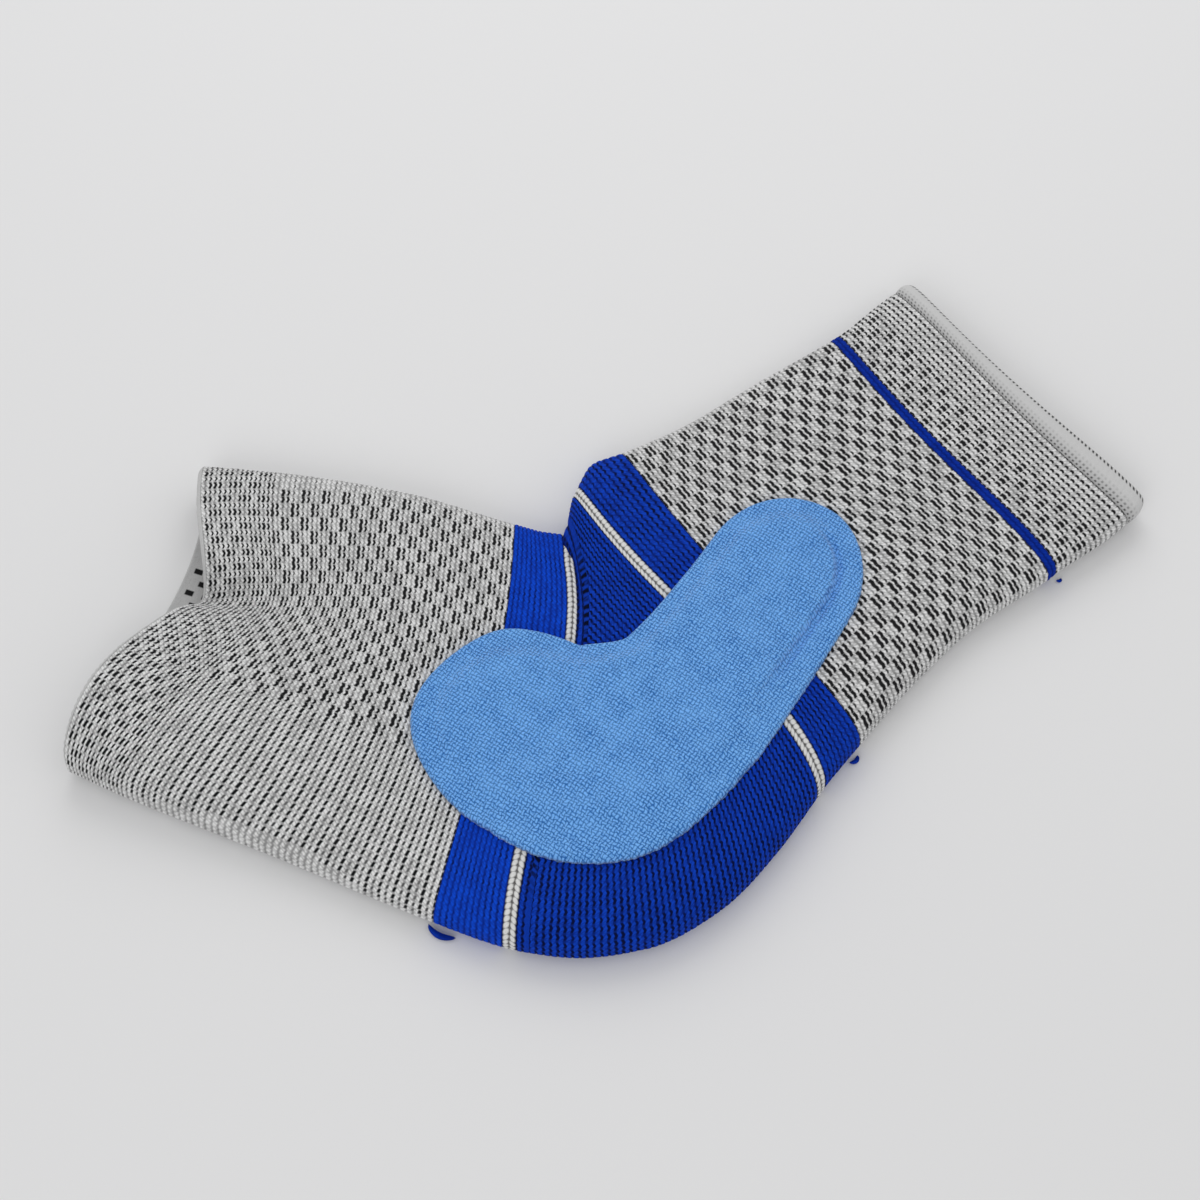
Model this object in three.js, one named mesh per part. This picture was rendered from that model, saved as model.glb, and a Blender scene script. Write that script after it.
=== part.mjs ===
// A knitted ankle support lying on its side: a flattened elastic tube that bends at the heel,
// with a toe opening on the left, a leg opening on the upper right, blue yarn bands round the heel
// and instep, a rolled hem at the leg, and a boomerang-shaped cushion lying on the upper face.
// Millimetres, +Z up, the lower layer flat on z = 0, the plan's middle on the origin.
import * as THREE from "three";

// Driving sizes
const WALL = 2; // thickness of the knitted wall
const GAP = 0.3; // clearance between neighbouring pieces
const PLAN_MIDDLE = new THREE.Vector2(5.15, -3.35); // middle of the section table's plan
const FOLD_ROUNDING = 3.8; // exponent of the round edge where the upper layer turns under
const UNDER_RISE = 4; // width over which the lower layer lifts off the table to each fold
const DENT_PLACE = 0.61; // of the width, from the near fold: the crease running in from the toe rim
const DENT_WIDTH = 0.07;
const PULL_WIDTH = 0.26;
const CROWN_BLEND = [0.3, 0.9]; // of the width, where the near crown passes into the far crown
const BOW_PEAK = 27 / 4; // brings the highest point of a bow to 1
const WELT_BULGE = 1.6; // thickness of the rolled hem over the wall's
const PROBE = 0.5; // half the step over which a direction is measured
const ABOVE = 100; // a height over everything, from which heights are measured

// Facets
const LAYER_FACETS = 20; // across each layer, from fold to fold
const FOLD_BIAS = 0.5; // 0 spaces those facets evenly, 1 crowds them towards the folds
const TRACE_STEPS = 120; // fine steps used to measure a layer's length
const WELT_SIDES = 8;

// Yarn and cover colours
const GREY_YARN = 0xbdbdbd;
const BLUE_YARN = 0x0a2f9e;
const RING_YARN = 0xd8d8d4;
const PLUSH_BLUE = 0x5d9edc;
const YARN_ROUGHNESS = 0.9;
const PLUSH_ROUGHNESS = 0.95;

// One row a section, from the toe rim to the leg rim. "at" runs along the back of the sleeve.
// far and near are the two folds: far is the instep and shin, near is the sole, heel and calf.
// crown is the height of the upper layer, bow carries its courses towards the leg, dent and pull
// lower and draw back the crease at the toe, and under draws back the lower layer there.
const COLUMNS = [
  "name", "at", "farX", "farY", "farZ", "nearX", "nearY", "nearZ",
  "crownNear", "crownFar", "bowNear", "bowFar", "dent", "pull", "under",
];
const SECTIONS = [
  ["toe_rim", 0, -113.9, 38.1, 8, -144.7, -55.9, 4.5, 20, 16.5, -2.5, 4.2, 11.5, 13, 6.5],
  ["cuff_end", 22, -92, 36.1, 8, -128.5, -63.3, 3, 20, 16, 5.2, 4.2, 4, 10, 6.5],
  ["foot_middle", 66, -55.8, 29.8, 7, -85.2, -81.7, 2.5, 15.8, 16.5, 5.8, 3.2, 0, 2, 4],
  ["foot_band", 109, -24, 20, 6, -43.9, -100.1, 3, 13.5, 14, 1.8, 3, 0, 0, 2],
  ["foot_ring", 129, -12.2, 16.2, 6, -25.6, -107.4, 4, 15, 14, -1, 7, 0, 0, 0],
  ["heel", 132.5, -9.6, 15.6, 6, -22, -108.4, 4, 15, 14, -1, 7, 0, 0, 0],
  ["heel_sole", 150, -9.2, 20, 7, -5.2, -110.5, 4, 16, 16, 1, 4, 0, 0, 0],
  ["heel_low", 167, -8.7, 24, 7, 12, -108, 4, 17, 17, 2, 2, 0, 0, 0],
  ["heel_round", 189, -8.1, 28, 7, 32, -97, 4, 17, 18, 3, 0, 0, 0, 0],
  ["heel_high", 212, -7.4, 31.5, 7, 48, -79.5, 4, 17, 18, 4, -2, 0, 0, 0],
  ["leg_ring", 231, -6.9, 33.5, 7, 58.6, -64.2, 4, 17, 18, 4, -3, 0, 0, 0],
  ["leg_band", 234.5, -6, 36.4, 7, 60.8, -61, 4, 17, 18, 4, -3, 0, 0, 0],
  ["leg_sleeve", 252, 7.5, 42.4, 7, 70.8, -48.3, 4, 15.8, 16.2, 0, -2.2, 0, 0, 0],
  ["leg_low", 276, 24.2, 52.9, 6, 86.8, -29.2, 4, 15, 14.8, 1.5, -2.9, 0, 0, 0],
  ["leg_middle", 300, 42.5, 66, 6, 104.4, -11.6, 4, 14, 14, 2, -2.9, 0, 0, 0],
  ["leg_stripe", 329, 67.2, 82.7, 6, 125.8, 3.3, 5, 13.8, 14.2, -0.7, -2, 0, 0, 0],
  ["leg_cuff", 332, 69.6, 84.4, 6, 128.2, 5.3, 5, 13.8, 14.2, -0.7, -2, 0, 0, 0],
  ["leg_welt", 356.5, 87, 100.2, 6, 149.5, 21.2, 6, 13, 13, -1.7, -0.5, 0, 0, 0],
  ["leg_rim", 361.8, 92.6, 103.8, 6, 155, 28, 7, 12, 12, -0.7, -2, 0, 0, 0],
];

// Cushion: a spine from the foot lobe to the leg lobe, with its half width on either side.
const PAD_COLUMNS = ["x", "y", "instepSide", "heelSide"];
const PAD_SPINE = [
  [-51, -44.5, 23, 24.5],
  [-27.5, -46, 29, 33],
  [0, -47, 24, 41.5],
  [22, -36.5, 20.5, 29.5],
  [65.5, 20, 23.5, 20],
];
const PAD_FOOT_LOBE = 28; // radius of the rounded foot end
const PAD_LEG_LOBE = 26; // radius of the rounded leg end
const PAD_RISE = [ // height over the knit, from the outline (1) to the spine (0)
  [1, 1.4],
  [0.95, 2],
  [0.87, 2.1],
  [0.79, 1.9],
  [0.64, 4.1],
  [0.4, 4.5],
  [0, 4.6],
];
const PAD_ROWS = 24;
const PAD_TIP = 0.6; // the grid's first row stands this far in from each end
const PAD_CLEARANCE = 0.45; // over the knit at the grid's points, a little less between them

// A table's rows as one column of numbers
function column(rows, names, name) {
  const place = names.indexOf(name);
  return rows.map((row) => row[place]);
}

// Slopes of a curve through the values that never overshoots between them
function slopesThrough(places, values) {
  const last = places.length - 1;
  const steps = places.slice(1).map((place, i) => place - places[i]);
  const rates = steps.map((step, i) => (values[i + 1] - values[i]) / step);
  return places.map((_, i) => {
    if (i === 0) return rates[0];
    if (i === last) return rates[last - 1];
    if (rates[i - 1] * rates[i] <= 0) return 0;
    const before = 2 * steps[i] + steps[i - 1];
    const after = steps[i] + 2 * steps[i - 1];
    return (before + after) / (before / rates[i - 1] + after / rates[i]);
  });
}

// Slopes of a freely turning curve through the values
function slopesAcross(places, values) {
  const last = places.length - 1;
  return places.map((_, i) => {
    const a = Math.max(i - 1, 0);
    const b = Math.min(i + 1, last);
    return (values[b] - values[a]) / (places[b] - places[a]);
  });
}

// A smooth function through the values
function curveThrough(places, values, slopes) {
  return (at) => {
    let i = 0;
    while (i < places.length - 2 && at > places[i + 1]) i += 1;
    const step = places[i + 1] - places[i];
    const q = (at - places[i]) / step;
    const p = 1 - q;
    const start = values[i] * (1 + 2 * q) * p * p + slopes[i] * step * q * p * p;
    const end = values[i + 1] * q * q * (3 - 2 * q) - slopes[i + 1] * step * q * q * p;
    return start + end;
  };
}

const STATIONS = column(SECTIONS, COLUMNS, "at");
const stationOf = Object.fromEntries(SECTIONS.map((row) => [row[0], row[1]]));
const sectionCurves = COLUMNS.slice(2).map((name) => {
  const values = column(SECTIONS, COLUMNS, name);
  return [name, curveThrough(STATIONS, values, slopesThrough(STATIONS, values))];
});

function sectionAt(station) {
  return Object.fromEntries(sectionCurves.map(([name, curve]) => [name, curve(station)]));
}

function bell(distance, width) {
  return Math.exp(-((distance / width) ** 2));
}

// A point of one layer at a share of the width from the near fold, on the outer face (inset 0)
// or on the inner one (inset WALL)
function layerPoint(section, share, isUpper, inset) {
  const near = new THREE.Vector2(section.nearX, section.nearY).sub(PLAN_MIDDLE);
  const far = new THREE.Vector2(section.farX, section.farY).sub(PLAN_MIDDLE);
  const width = near.distanceTo(far);
  const acrossWay = far.clone().sub(near).divideScalar(width);
  const legWay = new THREE.Vector2(acrossWay.y, -acrossWay.x);
  const foldHeight = section.nearZ + (section.farZ - section.nearZ) * share;
  const edge = Math.abs(2 * share - 1);
  const nearBow = BOW_PEAK * share * (1 - share) ** 2;
  const farBow = BOW_PEAK * share ** 2 * (1 - share);
  let height;
  let shift;
  if (isUpper) {
    const blend = THREE.MathUtils.smoothstep(share, ...CROWN_BLEND);
    const dent = section.dent * bell(share - DENT_PLACE, DENT_WIDTH);
    const crown = section.crownNear + (section.crownFar - section.crownNear) * blend - dent - inset;
    const dome = (1 - edge ** FOLD_ROUNDING) ** (1 / FOLD_ROUNDING);
    height = foldHeight + (crown - foldHeight) * dome;
    shift = section.bowNear * nearBow + section.bowFar * farBow;
    shift += section.pull * bell(share - DENT_PLACE, PULL_WIDTH) * 4 * share * (1 - share);
  } else {
    const flat = 1 - (2 * UNDER_RISE) / width;
    const lift = Math.max(0, (edge - flat) / (1 - flat)) ** 2;
    height = inset + (foldHeight - inset) * lift;
    shift = section.under * farBow;
  }
  const plan = near.addScaledVector(acrossWay, inset + share * (width - 2 * inset));
  plan.addScaledVector(legWay, shift);
  return new THREE.Vector3(plan.x, plan.y, height);
}

// A layer's points from the near fold to the far fold, spaced by length along the cloth
function layerPoints(section, isUpper, inset) {
  const trace = [];
  const lengths = [0];
  for (let i = 0; i <= TRACE_STEPS; i += 1) {
    const share = (1 - Math.cos((Math.PI * i) / TRACE_STEPS)) / 2;
    trace.push(layerPoint(section, share, isUpper, inset));
    if (i > 0) lengths.push(lengths[i - 1] + trace[i].distanceTo(trace[i - 1]));
  }
  const points = [];
  let i = 1;
  for (let k = 0; k <= LAYER_FACETS; k += 1) {
    const share = k / LAYER_FACETS;
    const crowded = (1 - Math.cos(Math.PI * share)) / 2;
    const length = lengths[TRACE_STEPS] * (share + (crowded - share) * FOLD_BIAS);
    while (i < TRACE_STEPS && lengths[i] < length) i += 1;
    const part = (length - lengths[i - 1]) / (lengths[i] - lengths[i - 1]);
    points.push(trace[i - 1].clone().lerp(trace[i], part));
  }
  return points;
}

// The closed loop of one face of the wall: over the upper layer, back under the lower one
function loopAt(station, inset) {
  const section = sectionAt(station);
  const upper = layerPoints(section, true, inset);
  const lower = layerPoints(section, false, inset);
  return [...upper, ...lower.slice(1, -1).reverse()];
}

// The same loop moved along the cloth by a small distance, to leave a gap at a piece's end
function loopMoved(station, inset, distance) {
  const ahead = loopAt(Math.min(station + PROBE, STATIONS.at(-1)), inset);
  const behind = loopAt(Math.max(station - PROBE, 0), inset);
  return loopAt(station, inset).map((point, k) => {
    const way = ahead[k].clone().sub(behind[k]).normalize();
    return point.addScaledVector(way, distance);
  });
}

// A closed surface from loops of equal length: each row of quads joins one loop to the next,
// and the last row joins back to the first
function closedThrough(loops) {
  const count = loops[0].length;
  const positions = loops.flat().flatMap((point) => point.toArray());
  const index = [];
  loops.forEach((_, row) => {
    const next = (row + 1) % loops.length;
    for (let k = 0; k < count; k += 1) {
      const beside = (k + 1) % count;
      const corners = [row, next].flatMap((line) => [line * count + k, line * count + beside]);
      index.push(corners[0], corners[2], corners[3], corners[0], corners[3], corners[1]);
    }
  });
  const geometry = new THREE.BufferGeometry();
  geometry.setAttribute("position", new THREE.Float32BufferAttribute(positions, 3));
  geometry.setIndex(index);
  return geometry;
}

function piece(name, geometry, color, roughness) {
  const material = new THREE.MeshStandardMaterial({ color, roughness, metalness: 0 });
  const mesh = new THREE.Mesh(geometry, material);
  mesh.name = name;
  return mesh;
}

function stationsBetween(from, to, steps) {
  return Array.from({ length: steps + 1 }, (_, i) => from + ((to - from) * i) / steps);
}

// One knitted zone of the sleeve: a hollow wall open at both ends
function knitZone([name, start, end, steps, color]) {
  const stations = stationsBetween(stationOf[start], stationOf[end], steps);
  const faceLoops = (inset) => stations.map((station, i) => {
    if (i === 0 && station > 0) return loopMoved(station, inset, GAP / 2);
    if (i === steps) return loopMoved(station, inset, -GAP / 2);
    return loopAt(station, inset);
  });
  const loops = [...faceLoops(0), ...faceLoops(WALL).reverse()];
  return piece(name, closedThrough(loops), color, YARN_ROUGHNESS);
}

// The hem at the leg opening: a round roll a little thicker than the wall
function weltRoll() {
  const start = { outer: loopMoved(stationOf.leg_welt, 0, GAP / 2) };
  start.inner = loopMoved(stationOf.leg_welt, WALL, GAP / 2);
  const end = { outer: loopAt(stationOf.leg_rim, 0), inner: loopAt(stationOf.leg_rim, WALL) };
  const loops = [];
  for (let side = 0; side < WELT_SIDES; side += 1) {
    const angle = (2 * Math.PI * (side + 0.5)) / WELT_SIDES;
    loops.push(start.outer.map((outer, k) => {
      const corners = [outer, start.inner[k], end.outer[k], end.inner[k]];
      const middle = new THREE.Vector3();
      corners.forEach((corner) => middle.addScaledVector(corner, 1 / 4));
      const along = corners[2].clone().add(corners[3]).sub(outer).sub(start.inner[k]).divideScalar(4);
      const outward = outer.clone().add(corners[2]).sub(start.inner[k]).sub(corners[3]);
      outward.multiplyScalar(WELT_BULGE / 4);
      middle.addScaledVector(along, -Math.cos(angle)).addScaledVector(outward, Math.sin(angle));
      middle.z = Math.max(middle.z, 0);
      return middle;
    }));
  }
  return piece("leg_welt", closedThrough(loops), GREY_YARN, YARN_ROUGHNESS);
}

// The sleeve's whole outer face, used only to find the height on which the cushion lies
function outerSkin(zones) {
  const stations = zones.flatMap(([, start, end, steps]) => (
    stationsBetween(stationOf[start], stationOf[end], steps).slice(0, -1)
  ));
  const skin = new THREE.Mesh(closedThrough([...stations, stationOf.leg_welt].map((s) => loopAt(s, 0))));
  skin.material.side = THREE.DoubleSide;
  skin.updateMatrixWorld();
  return skin;
}

function heightOn(skin, x, y) {
  const down = new THREE.Vector3(0, 0, -1);
  const ray = new THREE.Raycaster(new THREE.Vector3(x, y, ABOVE), down);
  return ray.intersectObject(skin)[0].point.z;
}

// Height of the cushion over the knit, by distance from the spine (0) to the outline (1)
function padRise(reach) {
  const outside = PAD_RISE.findIndex(([place]) => place <= reach);
  if (outside <= 0) return PAD_RISE[0][1];
  const [outerPlace, outerRise] = PAD_RISE[outside - 1];
  const [innerPlace, innerRise] = PAD_RISE[outside];
  return innerRise + ((outerRise - innerRise) * (reach - innerPlace)) / (outerPlace - innerPlace);
}

// The boomerang cushion: a grid along and across its spine, draped on the skin
function cushion(skin) {
  const xs = column(PAD_SPINE, PAD_COLUMNS, "x");
  const ys = column(PAD_SPINE, PAD_COLUMNS, "y");
  const lengths = [0];
  for (let i = 1; i < xs.length; i += 1) {
    lengths.push(lengths[i - 1] + Math.hypot(xs[i] - xs[i - 1], ys[i] - ys[i - 1]));
  }
  const curves = Object.fromEntries(PAD_COLUMNS.map((name) => {
    const values = column(PAD_SPINE, PAD_COLUMNS, name);
    return [name, curveThrough(lengths, values, slopesAcross(lengths, values))];
  }));
  const whole = lengths.at(-1);
  const inward = PAD_RISE.map(([place]) => place);
  const acrossShares = [...inward.map((share) => -share), ...inward.slice(0, -1).reverse()];
  const rows = [];
  for (let i = 0; i <= PAD_ROWS; i += 1) {
    const turn = (1 - Math.cos((Math.PI * i) / PAD_ROWS)) / 2;
    const length = PAD_TIP + (whole - 2 * PAD_TIP) * turn;
    const spine = new THREE.Vector2(curves.x(length), curves.y(length)).sub(PLAN_MIDDLE);
    const way = new THREE.Vector2(
      curves.x(length + PROBE) - curves.x(length - PROBE),
      curves.y(length + PROBE) - curves.y(length - PROBE),
    ).normalize();
    const instepWay = new THREE.Vector2(-way.y, way.x);
    const intoFoot = Math.max(0, 1 - length / PAD_FOOT_LOBE);
    const intoLeg = Math.max(0, 1 - (whole - length) / PAD_LEG_LOBE);
    const narrowing = Math.sqrt((1 - intoFoot ** 2) * (1 - intoLeg ** 2));
    rows.push(acrossShares.map((share) => {
      const half = share > 0 ? curves.instepSide(length) : curves.heelSide(length);
      const place = spine.clone().addScaledVector(instepWay, share * narrowing * half);
      const reach = Math.hypot(intoFoot, intoLeg, share * narrowing);
      const floor = heightOn(skin, place.x, place.y) + PAD_CLEARANCE;
      return { place, floor, top: floor + padRise(reach) };
    }));
  }
  // Each row becomes a loop round the cushion's section, over the top and back underneath
  const loops = rows.map((row) => [
    ...row.map(({ place, top }) => new THREE.Vector3(place.x, place.y, top)),
    ...row.map(({ place, floor }) => new THREE.Vector3(place.x, place.y, floor)).reverse(),
  ]);
  const count = loops[0].length;
  const geometry = closedThrough(loops);
  // The last row of quads would run back through the body: two flat tips take its place
  const index = [...geometry.index.array].slice(0, (loops.length - 1) * count * 6);
  const half = count / 2;
  const lastLoop = (loops.length - 1) * count;
  for (let k = 0; k < half - 1; k += 1) {
    const under = count - 1 - k;
    index.push(k, k + 1, under - 1, k, under - 1, under);
    index.push(lastLoop + k, lastLoop + under - 1, lastLoop + k + 1);
    index.push(lastLoop + k, lastLoop + under, lastLoop + under - 1);
  }
  geometry.setIndex(index);
  return piece("ankle_pad", geometry, PLUSH_BLUE, PLUSH_ROUGHNESS);
}

// Name, first section, last section, facet rows along it, yarn colour
const KNIT_ZONES = [
  ["foot_cuff", "toe_rim", "cuff_end", 4, GREY_YARN],
  ["foot_sleeve", "cuff_end", "foot_band", 9, GREY_YARN],
  ["foot_band", "foot_band", "foot_ring", 3, BLUE_YARN],
  ["foot_ring", "foot_ring", "heel", 1, RING_YARN],
  ["heel", "heel", "leg_ring", 11, BLUE_YARN],
  ["leg_ring", "leg_ring", "leg_band", 1, RING_YARN],
  ["leg_band", "leg_band", "leg_sleeve", 3, BLUE_YARN],
  ["leg_sleeve", "leg_sleeve", "leg_stripe", 8, GREY_YARN],
  ["leg_stripe", "leg_stripe", "leg_cuff", 1, BLUE_YARN],
  ["leg_cuff", "leg_cuff", "leg_welt", 4, GREY_YARN],
];

const ankleSupport = new THREE.Group();
KNIT_ZONES.forEach((zone) => ankleSupport.add(knitZone(zone)));
ankleSupport.add(weltRoll());
ankleSupport.add(cushion(outerSkin(KNIT_ZONES)));

export default ankleSupport;
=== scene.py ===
import math

import bmesh
import bpy
import numpy as np
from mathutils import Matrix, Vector
from mathutils.bvhtree import BVHTree


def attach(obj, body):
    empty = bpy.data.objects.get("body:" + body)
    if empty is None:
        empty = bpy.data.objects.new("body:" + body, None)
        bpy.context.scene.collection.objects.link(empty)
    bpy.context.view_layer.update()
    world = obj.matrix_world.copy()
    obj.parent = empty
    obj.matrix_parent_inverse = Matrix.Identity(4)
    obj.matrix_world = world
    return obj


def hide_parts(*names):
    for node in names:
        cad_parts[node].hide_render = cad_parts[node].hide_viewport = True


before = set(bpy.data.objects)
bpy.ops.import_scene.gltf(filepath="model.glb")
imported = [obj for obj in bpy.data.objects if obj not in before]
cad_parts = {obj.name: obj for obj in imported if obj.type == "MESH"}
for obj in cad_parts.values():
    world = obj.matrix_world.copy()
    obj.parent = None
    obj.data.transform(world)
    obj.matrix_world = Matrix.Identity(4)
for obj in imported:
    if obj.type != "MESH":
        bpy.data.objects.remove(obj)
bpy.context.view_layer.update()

# The table and the studio: a plain pale table top in even white light from all round, with a soft
# lamp behind the sleeve and one on the camera's side. The camera looks down from the heel side, 60
# degrees above the table.
scene = bpy.context.scene
scene.view_settings.view_transform = "Standard"

camera_lens = bpy.data.cameras.new("camera")
camera_lens.lens = 85
camera_lens.sensor_width = 36
camera = bpy.data.objects.new("camera", camera_lens)
camera.location = (-0.00515, -0.39571, 0.69119)
camera.rotation_euler = (math.radians(30), 0, 0)
scene.collection.objects.link(camera)
scene.camera = camera

SKY_STRENGTH = 0.67
studio = bpy.data.worlds.new("studio")
studio.use_nodes = True
sky = studio.node_tree.nodes["Background"]
sky.inputs["Color"].default_value = (1, 1, 1, 1)
sky.inputs["Strength"].default_value = SKY_STRENGTH
scene.world = studio

# place, size, energy
LAMPS = {
    "back_lamp": (Vector((0.0, 0.55, 0.55)), 0.7, 1.4),
    "front_lamp": (Vector((-0.4, -1.2, 1.0)), 0.9, 4.0),
}
for name, (place, size, energy) in LAMPS.items():
    soft_lamp = bpy.data.lights.new(name, "AREA")
    soft_lamp.shape = "DISK"
    soft_lamp.size = size
    soft_lamp.energy = energy
    lamp_stand = bpy.data.objects.new(name, soft_lamp)
    lamp_stand.location = place
    lamp_stand.rotation_euler = place.to_track_quat("Z", "Y").to_euler()
    scene.collection.objects.link(lamp_stand)

TABLE_HALF = 3.0
TABLE_DROP = -0.0001
table_mesh = bpy.data.meshes.new("table_top")
table_signs = ((-1, -1), (1, -1), (1, 1), (-1, 1))
table_corners = [(x * TABLE_HALF, y * TABLE_HALF, TABLE_DROP) for x, y in table_signs]
table_mesh.from_pydata(table_corners, [], [(0, 1, 2, 3)])
table_top = bpy.data.objects.new("table_top", table_mesh)
scene.collection.objects.link(table_top)
table_paint = bpy.data.materials.new("table_paint")
table_paint.use_nodes = True
paint = table_paint.node_tree.nodes["Principled BSDF"]
paint.inputs["Base Color"].default_value = (0.8, 0.8, 0.805, 1)
paint.inputs["Roughness"].default_value = 0.9
paint.inputs["Specular IOR Level"].default_value = 0.1
table_mesh.materials.append(table_paint)

# Foot cuff: the end band of the grey knit at the toe opening, pressed in by a crease on its upper
# side. Knitted in one tube with the rest of the sleeve, so the whole sleeve's lie is worked out here:
# two folds, the height of the upper layer between them, and the flat lower layer, in millimetres.
MM = 0.001
WALL = 2.0
PLAN_MIDDLE = np.array([5.15, -3.35])
FOLD_ROUNDING = 3.8
UNDER_RISE = 4.0
DENT_PLACE = 0.61
DENT_WIDTH = 0.07
PULL_WIDTH = 0.26
CROWN_BLEND = (0.3, 0.9)
BOW_PEAK = 27 / 4
STATION_STEP = 0.5
GIRTH_STEPS = 1024
LAYER_STEPS = 240

# at, far fold x y z, near fold x y z, crown near and far, bow near and far, dent, pull, under
SECTIONS = {
    "toe_rim": (0, -113.9, 38.1, 8, -144.7, -55.9, 4.5, 20, 16.5, -2.5, 4.2, 11.5, 13, 6.5),
    "cuff_end": (22, -92, 36.1, 8, -128.5, -63.3, 3, 20, 16, 5.2, 4.2, 4, 10, 6.5),
    "foot_middle": (66, -55.8, 29.8, 7, -85.2, -81.7, 2.5, 15.8, 16.5, 5.8, 3.2, 0, 2, 4),
    "foot_band": (109, -24, 20, 6, -43.9, -100.1, 3, 13.5, 14, 1.8, 3, 0, 0, 2),
    "foot_ring": (129, -12.2, 16.2, 6, -25.6, -107.4, 4, 15, 14, -1, 7, 0, 0, 0),
    "heel": (132.5, -9.6, 15.6, 6, -22, -108.4, 4, 15, 14, -1, 7, 0, 0, 0),
    "heel_sole": (150, -9.4, 18.5, 7, -5.2, -110.5, 4, 16, 16, 1, 4, 0, 0, 0),
    "heel_low": (167, -9.1, 21.2, 7, 12, -108, 4, 17, 17, 2, 2, 0, 0, 0),
    "heel_round": (189, -8.7, 23.8, 7, 32, -97, 4, 17, 18, 3, 0, 0, 0, 0),
    "heel_high": (212, -8.2, 26.2, 7, 48, -79.5, 4, 17, 18, 4, -3, 0, 0, 0),
    "leg_ring": (231, -7.9, 27.5, 7, 58.6, -64.2, 4, 17, 18, 3.4, -3.2, 0, 0, 0),
    "leg_band": (234.5, -6.6, 30.7, 7, 60.8, -61, 4, 17, 18, 3.4, -3.2, 0, 0, 0),
    "band_middle": (243, -2.6, 38.7, 7, 65.6, -54.8, 4, 16.4, 17.1, 1.8, -2.7, 0, 0, 0),
    "leg_sleeve": (252, 5.8, 42.7, 7, 70.8, -48.3, 4, 15.8, 16.2, 0, -2.2, 0, 0, 0),
    "leg_low": (276, 24.2, 52.9, 6, 86.8, -29.2, 4, 15, 14.8, 1.5, -2.9, 0, 0, 0),
    "leg_middle": (300, 42.5, 66, 6, 104.4, -11.6, 4, 14, 14, 2, -2.9, 0, 0, 0),
    "leg_stripe": (329, 67.2, 82.7, 6, 125.8, 3.3, 5, 13.8, 14.2, -0.3, -2.3, 0, 0, 0),
    "leg_cuff": (332, 69.6, 84.4, 6, 128.2, 5.3, 5, 13.8, 14.2, -0.3, -2.3, 0, 0, 0),
    "leg_welt": (356.5, 87, 100.2, 6, 149.5, 21.2, 6, 13, 13, -1.7, -0.5, 0, 0, 0),
    "leg_rim": (361.8, 92.6, 103.8, 6, 155, 28, 7, 12, 12, -0.7, -2, 0, 0, 0),
}
section_table = np.array(list(SECTIONS.values()), float)
section_places = section_table[:, 0]
section_values = section_table[:, 1:]
station_of = {name: row[0] for name, row in SECTIONS.items()}


def smooth_step(low, high, value):
    part = np.clip((value - low) / (high - low), 0, 1)
    return part * part * (3 - 2 * part)


def slopes_through(places, values):
    """Slopes of a curve through the values that never overshoots between them."""
    step = np.diff(places)[:, None]
    rise = np.diff(values, axis=0) / step
    same_way = rise[:-1] * rise[1:] > 0
    before = np.where(same_way, rise[:-1], 1)
    after = np.where(same_way, rise[1:], 1)
    weight_before = 2 * step[1:] + step[:-1]
    weight_after = step[1:] + 2 * step[:-1]
    slopes = np.zeros_like(values)
    slopes[0] = rise[0]
    slopes[-1] = rise[-1]
    joint = (weight_before + weight_after) / (weight_before / before + weight_after / after)
    slopes[1:-1] = np.where(same_way, joint, 0)
    return slopes


def values_along(places, values, slopes, wanted):
    row = np.clip(np.searchsorted(places, wanted, side="right") - 1, 0, len(places) - 2)
    step = (places[row + 1] - places[row])[:, None]
    part = (wanted - places[row])[:, None] / step
    start = values[row] * (1 + 2 * part) * (1 - part) ** 2 + slopes[row] * step * part * (1 - part) ** 2
    end = values[row + 1] * part**2 * (3 - 2 * part) + slopes[row + 1] * step * part**2 * (part - 1)
    return start + end


section_slopes = slopes_through(section_places, section_values)


def layer_points(stations, shares, is_upper, inset):
    """One layer of the sleeve, from the near fold (share 0) to the far fold (share 1)."""
    sections = values_along(section_places, section_values, section_slopes, stations)
    (far_x, far_y, far_z, near_x, near_y, near_z, crown_near, crown_far,
     bow_near, bow_far, dent, pull, under) = sections.T[:, :, None]
    width = np.hypot(far_x - near_x, far_y - near_y)
    across_x = (far_x - near_x) / width
    across_y = (far_y - near_y) / width
    fold = near_z + (far_z - near_z) * shares
    edge = np.abs(2 * shares - 1)
    near_bow = BOW_PEAK * shares * (1 - shares) ** 2
    far_bow = BOW_PEAK * shares**2 * (1 - shares)
    if is_upper:
        crease = dent * np.exp(-(((shares - DENT_PLACE) / DENT_WIDTH) ** 2))
        crown = crown_near + (crown_far - crown_near) * smooth_step(*CROWN_BLEND, shares) - crease - inset
        height = fold + (crown - fold) * (1 - edge**FOLD_ROUNDING) ** (1 / FOLD_ROUNDING)
        drawn_back = pull * np.exp(-(((shares - DENT_PLACE) / PULL_WIDTH) ** 2)) * 4 * shares * (1 - shares)
        shift = bow_near * near_bow + bow_far * far_bow + drawn_back
    else:
        flat = 1 - 2 * UNDER_RISE / width
        lift = np.clip((edge - flat) / (1 - flat), 0, 1) ** 2
        height = inset + (fold - inset) * lift
        shift = under * far_bow
    along = inset + shares * (width - 2 * inset)
    x = near_x + across_x * along + across_y * shift - PLAN_MIDDLE[0]
    y = near_y + across_y * along - across_x * shift - PLAN_MIDDLE[1]
    return np.stack([x, y, height], axis=-1)


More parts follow.
